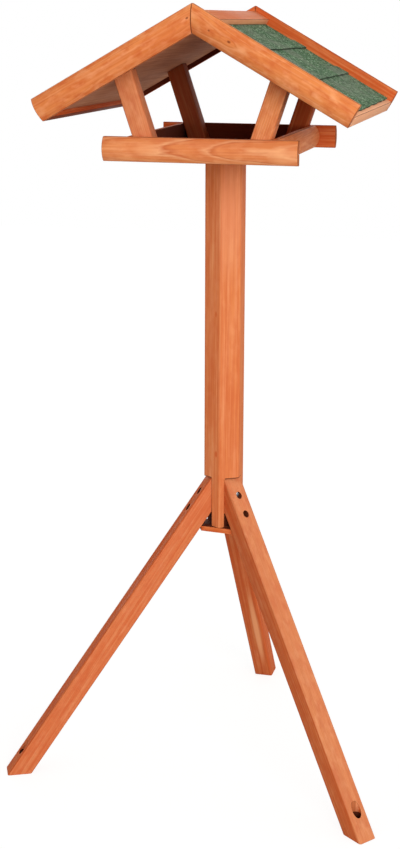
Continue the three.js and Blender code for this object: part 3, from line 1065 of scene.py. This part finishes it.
def buildRoofBoards():
    form, start, arris = roofForm, -roofForm["rough"], roofForm["arris"]
    capTop, capBottom = form["capSink"], form["capSink"] + form["capThickness"]
    for side in sides:
        place, name = slopePlace(side), f"roof_panel_{side}"
        end, depths = fasciaInner - gap, (panelTop, panelBottom)
        panel = addSlopeBoard(f"{name}_board", start, end, *depths, form["panelArris"])
        finishWood(panel, place, name, lengthwise, material=stainedBoard)

        # painted shade on its underside
        def dark(normal, corners):  # its underside
            return form["fasciaShades"][side] if facesDown(normal) else 0

        name, depths = f"eave_fascia_{side}", (panelTop, stripForm["height"])
        fascia = addSlopeBoard(f"{name}_pine", fasciaInner, slopeLength, *depths, arris)
        finishWood(fascia, place, name, lengthwise, dark)

        name = f"ridge_cap_{side}"
        cap = addSlopeBoard(f"{name}_pine", start, form["capWidth"], capTop, capBottom, arris)
        finishWood(cap, place, name, lengthwise)


def buildGables():
    middle = stripForm["height"] / 2
    start, underPanel = middle * mitre + mitreGap, middle - panelBottom
    for end, side, kind in houseCorners:
        node = f"bargeboard_{end}_{side}"
        obj = halfRoundStrip(f"{node}_pine", -roofForm["rough"], slopeLength - start)
        saw(obj, (0, 0, 0), (-1, mitre * kind, 0))
        softenArrises(obj, stripForm["arris"])
        score(obj, (0, -kind * underPanel, 0), yAxis)

        # painted shade on the left boards' flat face below the panel
        def dark(normal, corners):  # its flat face below the panel
            low = max(-kind * corner.y for corner in corners) < underPanel + near
            return stripForm["shade"] if side == "left" and facesDown(normal) and low else 0

        place = axesAt((start, kind * layout["roofInside"] / 2, -middle), xAxis, kind * yAxis)
        finishWood(obj, slopePlace(side) @ place, node, dark=dark)


def buildPosts():
    lean = postForm["lean"]
    rise = layout["roofTop"] - layout["trayBottom"] - stripForm["height"]
    clear = (panelBottom + gap) / math.cos(pitch)
    top = stripForm["height"] + (rise - clear - postHeel * mitre) / (1 + mitre * math.tan(lean))
    length = (top - postBottom) / math.cos(lean)
    along, outward = (math.sin(lean), 0, math.cos(lean)), (-math.cos(lean), 0, math.sin(lean))
    for end, side, kind in houseCorners:
        node = f"post_{end}_{side}"
        heel = (postOffset(postBottom), kind * postAcross, postBottom)
        stood = axesAt(heel, along, outward)
        obj = addBar(f"{node}_pine", postForm, length, math.tan(lean), math.tan(pitch - lean), stood)
        softenArrises(obj, postForm["arris"], 40)
        for height in postForm["shadeHeights"]:
            score(obj, (0, 0, height), zAxis)
        shaded = postForm["backShades"][side] if end == "back" else 0

        # Painted shadow of the roof, darker towards it, on the front posts' outer faces; painted shade
        # on the back posts
        def dark(normal, corners):  # the front posts' outer faces get darker towards the roof
            low = min(corner.z for corner in corners) + near
            steps = sum(height < low for height in postForm["shadeHeights"])
            return postForm["shadeStep"] * steps if end == "front" and normal.x > 0.6 else shaded

        finishWood(obj, trayPlace @ halfTurn(side), node, stood, dark)


buildRoofBoards()
buildGables()
buildPosts()
print("stage: roof boards, gables and posts made")

# Felt: three courses on each slope, cut by hand, so their lower edges run a little uneven
feltForm = {
    "edges": {"upper": 0.385 * slopeLength, "middle": 0.69 * slopeLength, "lower": slopeLength - 7},
    "slants": {"upper": 2.4, "middle": 0.6, "lower": -1.5},  # mm from the middle to the back
    "lap": 20,
    "ramp": 6,
    "waver": 1.4,  # mm that a lower edge strays
    "waverLength": 23,
    "waverSeed": 7.3,
    "lift": 0.7,  # mm that a lap stands off at its edge
    "liftReach": 12,
    "liftLength": 60,
    "liftSeed": 3.1,
    "bulge": 0.25,  # mm
    "bulgeSize": (40, 50),
    "edgeShow": 0.85,  # of the bitumen on the cut edges
    "columns": 80,
    "rows": 26,
}


def feltPoint(course, sign, upper, share, across):  # by its share of the way down the course
    form, edge = feltForm, feltForm["edges"][course]
    toBack = across * sign / sheetHalf
    ragged = form["waver"] * noise.noise((across / form["waverLength"], edge, sign * form["waverSeed"]))
    lowerEdge = edge + form["slants"][course] * toBack + ragged
    down = upper + share * (lowerEdge - upper)
    long, wide = form["bulgeSize"]
    bulge = form["bulge"] * (1 + noise.noise((down / long, across / wide, edge)))
    if course == "lower":
        return down, across, -feltTop + bulge
    lapStart = edge - form["lap"]
    climbed = min(max((down - lapStart + form["ramp"]) / form["ramp"], 0), 1)
    nearEdge = max(0, (down - edge + form["liftReach"]) / form["liftReach"])
    loose = 0.5 + noise.noise((across / form["liftLength"], edge, form["liftSeed"] * sign))
    climb = roofForm["feltThickness"] + gap
    return down, across, -feltTop + climb * climbed + nearEdge * form["lift"] * loose + bulge / 2


def buildFelt():
    form = feltForm
    for side, sign in sides.items():
        upper = panelTop * mitre + mitreGap
        for course, edge in form["edges"].items():
            deselectAll()
            cuts = {"x_subdivisions": form["rows"], "y_subdivisions": form["columns"]}
            bpy.ops.mesh.primitive_grid_add(**cuts, size=1)
            obj = addedPiece(f"felt_{side}_{course}_sheet")
            for vertex in obj.data.vertices:
                share, across = vertex.co.x + 0.5, vertex.co.y * 2 * sheetHalf
                vertex.co = feltPoint(course, sign, upper, share, across)
            upper = edge - form["lap"]
            onlyThis(obj)
            body = obj.modifiers.new("thickness", "SOLIDIFY")
            body.thickness, body.offset = roofForm["feltThickness"], -1
            bpy.ops.object.modifier_apply(modifier=body.name)
            edgeMark = obj.data.attributes.new("feltEdge", "FLOAT", "FACE")
            for i, face in enumerate(obj.data.polygons):
                edgeMark.data[i].value = form["edgeShow"] if abs(face.normal.z) < 0.5 else 0.0
            finishPiece(obj, slopePlace(side), f"felt_{side}_{course}", mineralFelt, 40)


buildFelt()
print("stage: felt laid")

# The screws under the felt stay as the CAD has them
for name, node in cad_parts.items():
    if name.startswith("roof_screw"):
        for slot in node.material_slots:
            slot.material = zincedSteel

# Floor and world
studio = {
    "floorSize": 12,
    "bounce": "#D8D8D6",  # of the floor, as the object sees it
    "seen": "#8A8A88",  # as the camera sees it, with a glow that makes it white out of shadow
    "glow": 0.85,
    "world": 0.45,
}
# Lamps: the way from the object to each, its strength, and its angle in degrees
lamps = {
    "key": ((0.49, -0.85, 0.21), 1.8, 35),
    "side": ((0.95, -0.2, 0.24), 0.45, 40),
    "fill": ((-0.72, -0.6, 0.34), 0.25, 60),
    "back": ((-0.35, 0.92, 0.1), 0.8, 50),
}
white = (1, 1, 1, 1)


def buildStudio():
    deselectAll()
    bpy.ops.mesh.primitive_plane_add(size=studio["floorSize"], location=(0, 0, 0))
    floor = addedPiece("studio_floor")
    material, tree = newMaterial("studio_floor_paint")
    fromCamera = addNode(tree, "LightPath").outputs["Is Camera Ray"]
    paint = mixed(tree, fromCamera, colour(studio["bounce"]), studio["seen"])
    glow = ranged(tree, fromCamera, (0, 1), (0, studio["glow"]))
    surface = {
        "Base Color": paint,
        "Roughness": 0.9,
        "Specular IOR Level": 0.0,
        "Emission Color": white,
        "Emission Strength": glow,
    }
    finishMaterial(tree, surface)
    floor.data.materials.append(material)

    world = bpy.data.worlds.new("studio_world")
    bpy.context.scene.world = world
    world.use_nodes = True
    tree = world.node_tree
    tree.nodes.clear()
    path = addNode(tree, "LightPath").outputs
    seen = numberMath(tree, "ADD", path["Is Camera Ray"], path["Is Glossy Ray"])
    seen = numberMath(tree, "ADD", seen, path["Is Transmission Ray"])
    strength = ranged(tree, seen, (0, 1), (studio["world"], 1))
    background = addNode(tree, "Background", {0: white, 1: strength})
    addNode(tree, "OutputWorld", {0: background.outputs[0]})

    for name, (direction, strength, angle) in lamps.items():
        data = bpy.data.lights.new(f"studio_{name}", "SUN")
        data.energy, data.angle = strength, math.radians(angle)
        light = bpy.data.objects.new(f"studio_{name}", data)
        bpy.context.collection.objects.link(light)
        light.rotation_euler = Vector(direction).to_track_quat("Z", "Y").to_euler()


# Camera, from the photo's perspective
view = {
    "place": (533.51, -2276.86, 1178.69),  # mm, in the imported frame
    "yaw": 13.05,
    "pitch": 15.04,
    "roll": -0.38,
    "focal": 1503.84,  # pixels
    "centre": (222.64, 422.73),
    "image": (400, 849),
    "sensor": 36,  # mm
    "clip": (0.05, 50),  # metres
}


def buildCamera():
    data = bpy.data.cameras.new("camera")
    camera = bpy.data.objects.new("camera", data)
    bpy.context.collection.objects.link(camera)
    bpy.context.scene.camera = camera
    wide, tall = view["image"]
    data.sensor_width = view["sensor"]
    data.lens = view["focal"] * view["sensor"] / tall
    data.shift_x = (wide / 2 - view["centre"][0]) / tall
    data.shift_y = (view["centre"][1] - tall / 2) / tall
    data.clip_start, data.clip_end = view["clip"]
    yaw, level, roll = (math.radians(view[k]) for k in ("yaw", "pitch", "roll"))
    turn = (
        Matrix.Rotation(yaw, 4, "Z")
        @ Matrix.Rotation(math.pi / 2 - level, 4, "X")
        @ Matrix.Rotation(-roll, 4, "Z")
    )
    camera.location = Vector(view["place"]) * millimetre
    camera.rotation_euler = turn.to_euler()


buildStudio()
buildCamera()
bpy.context.scene.view_settings.view_transform = "Standard"
print("stage: studio and camera made")
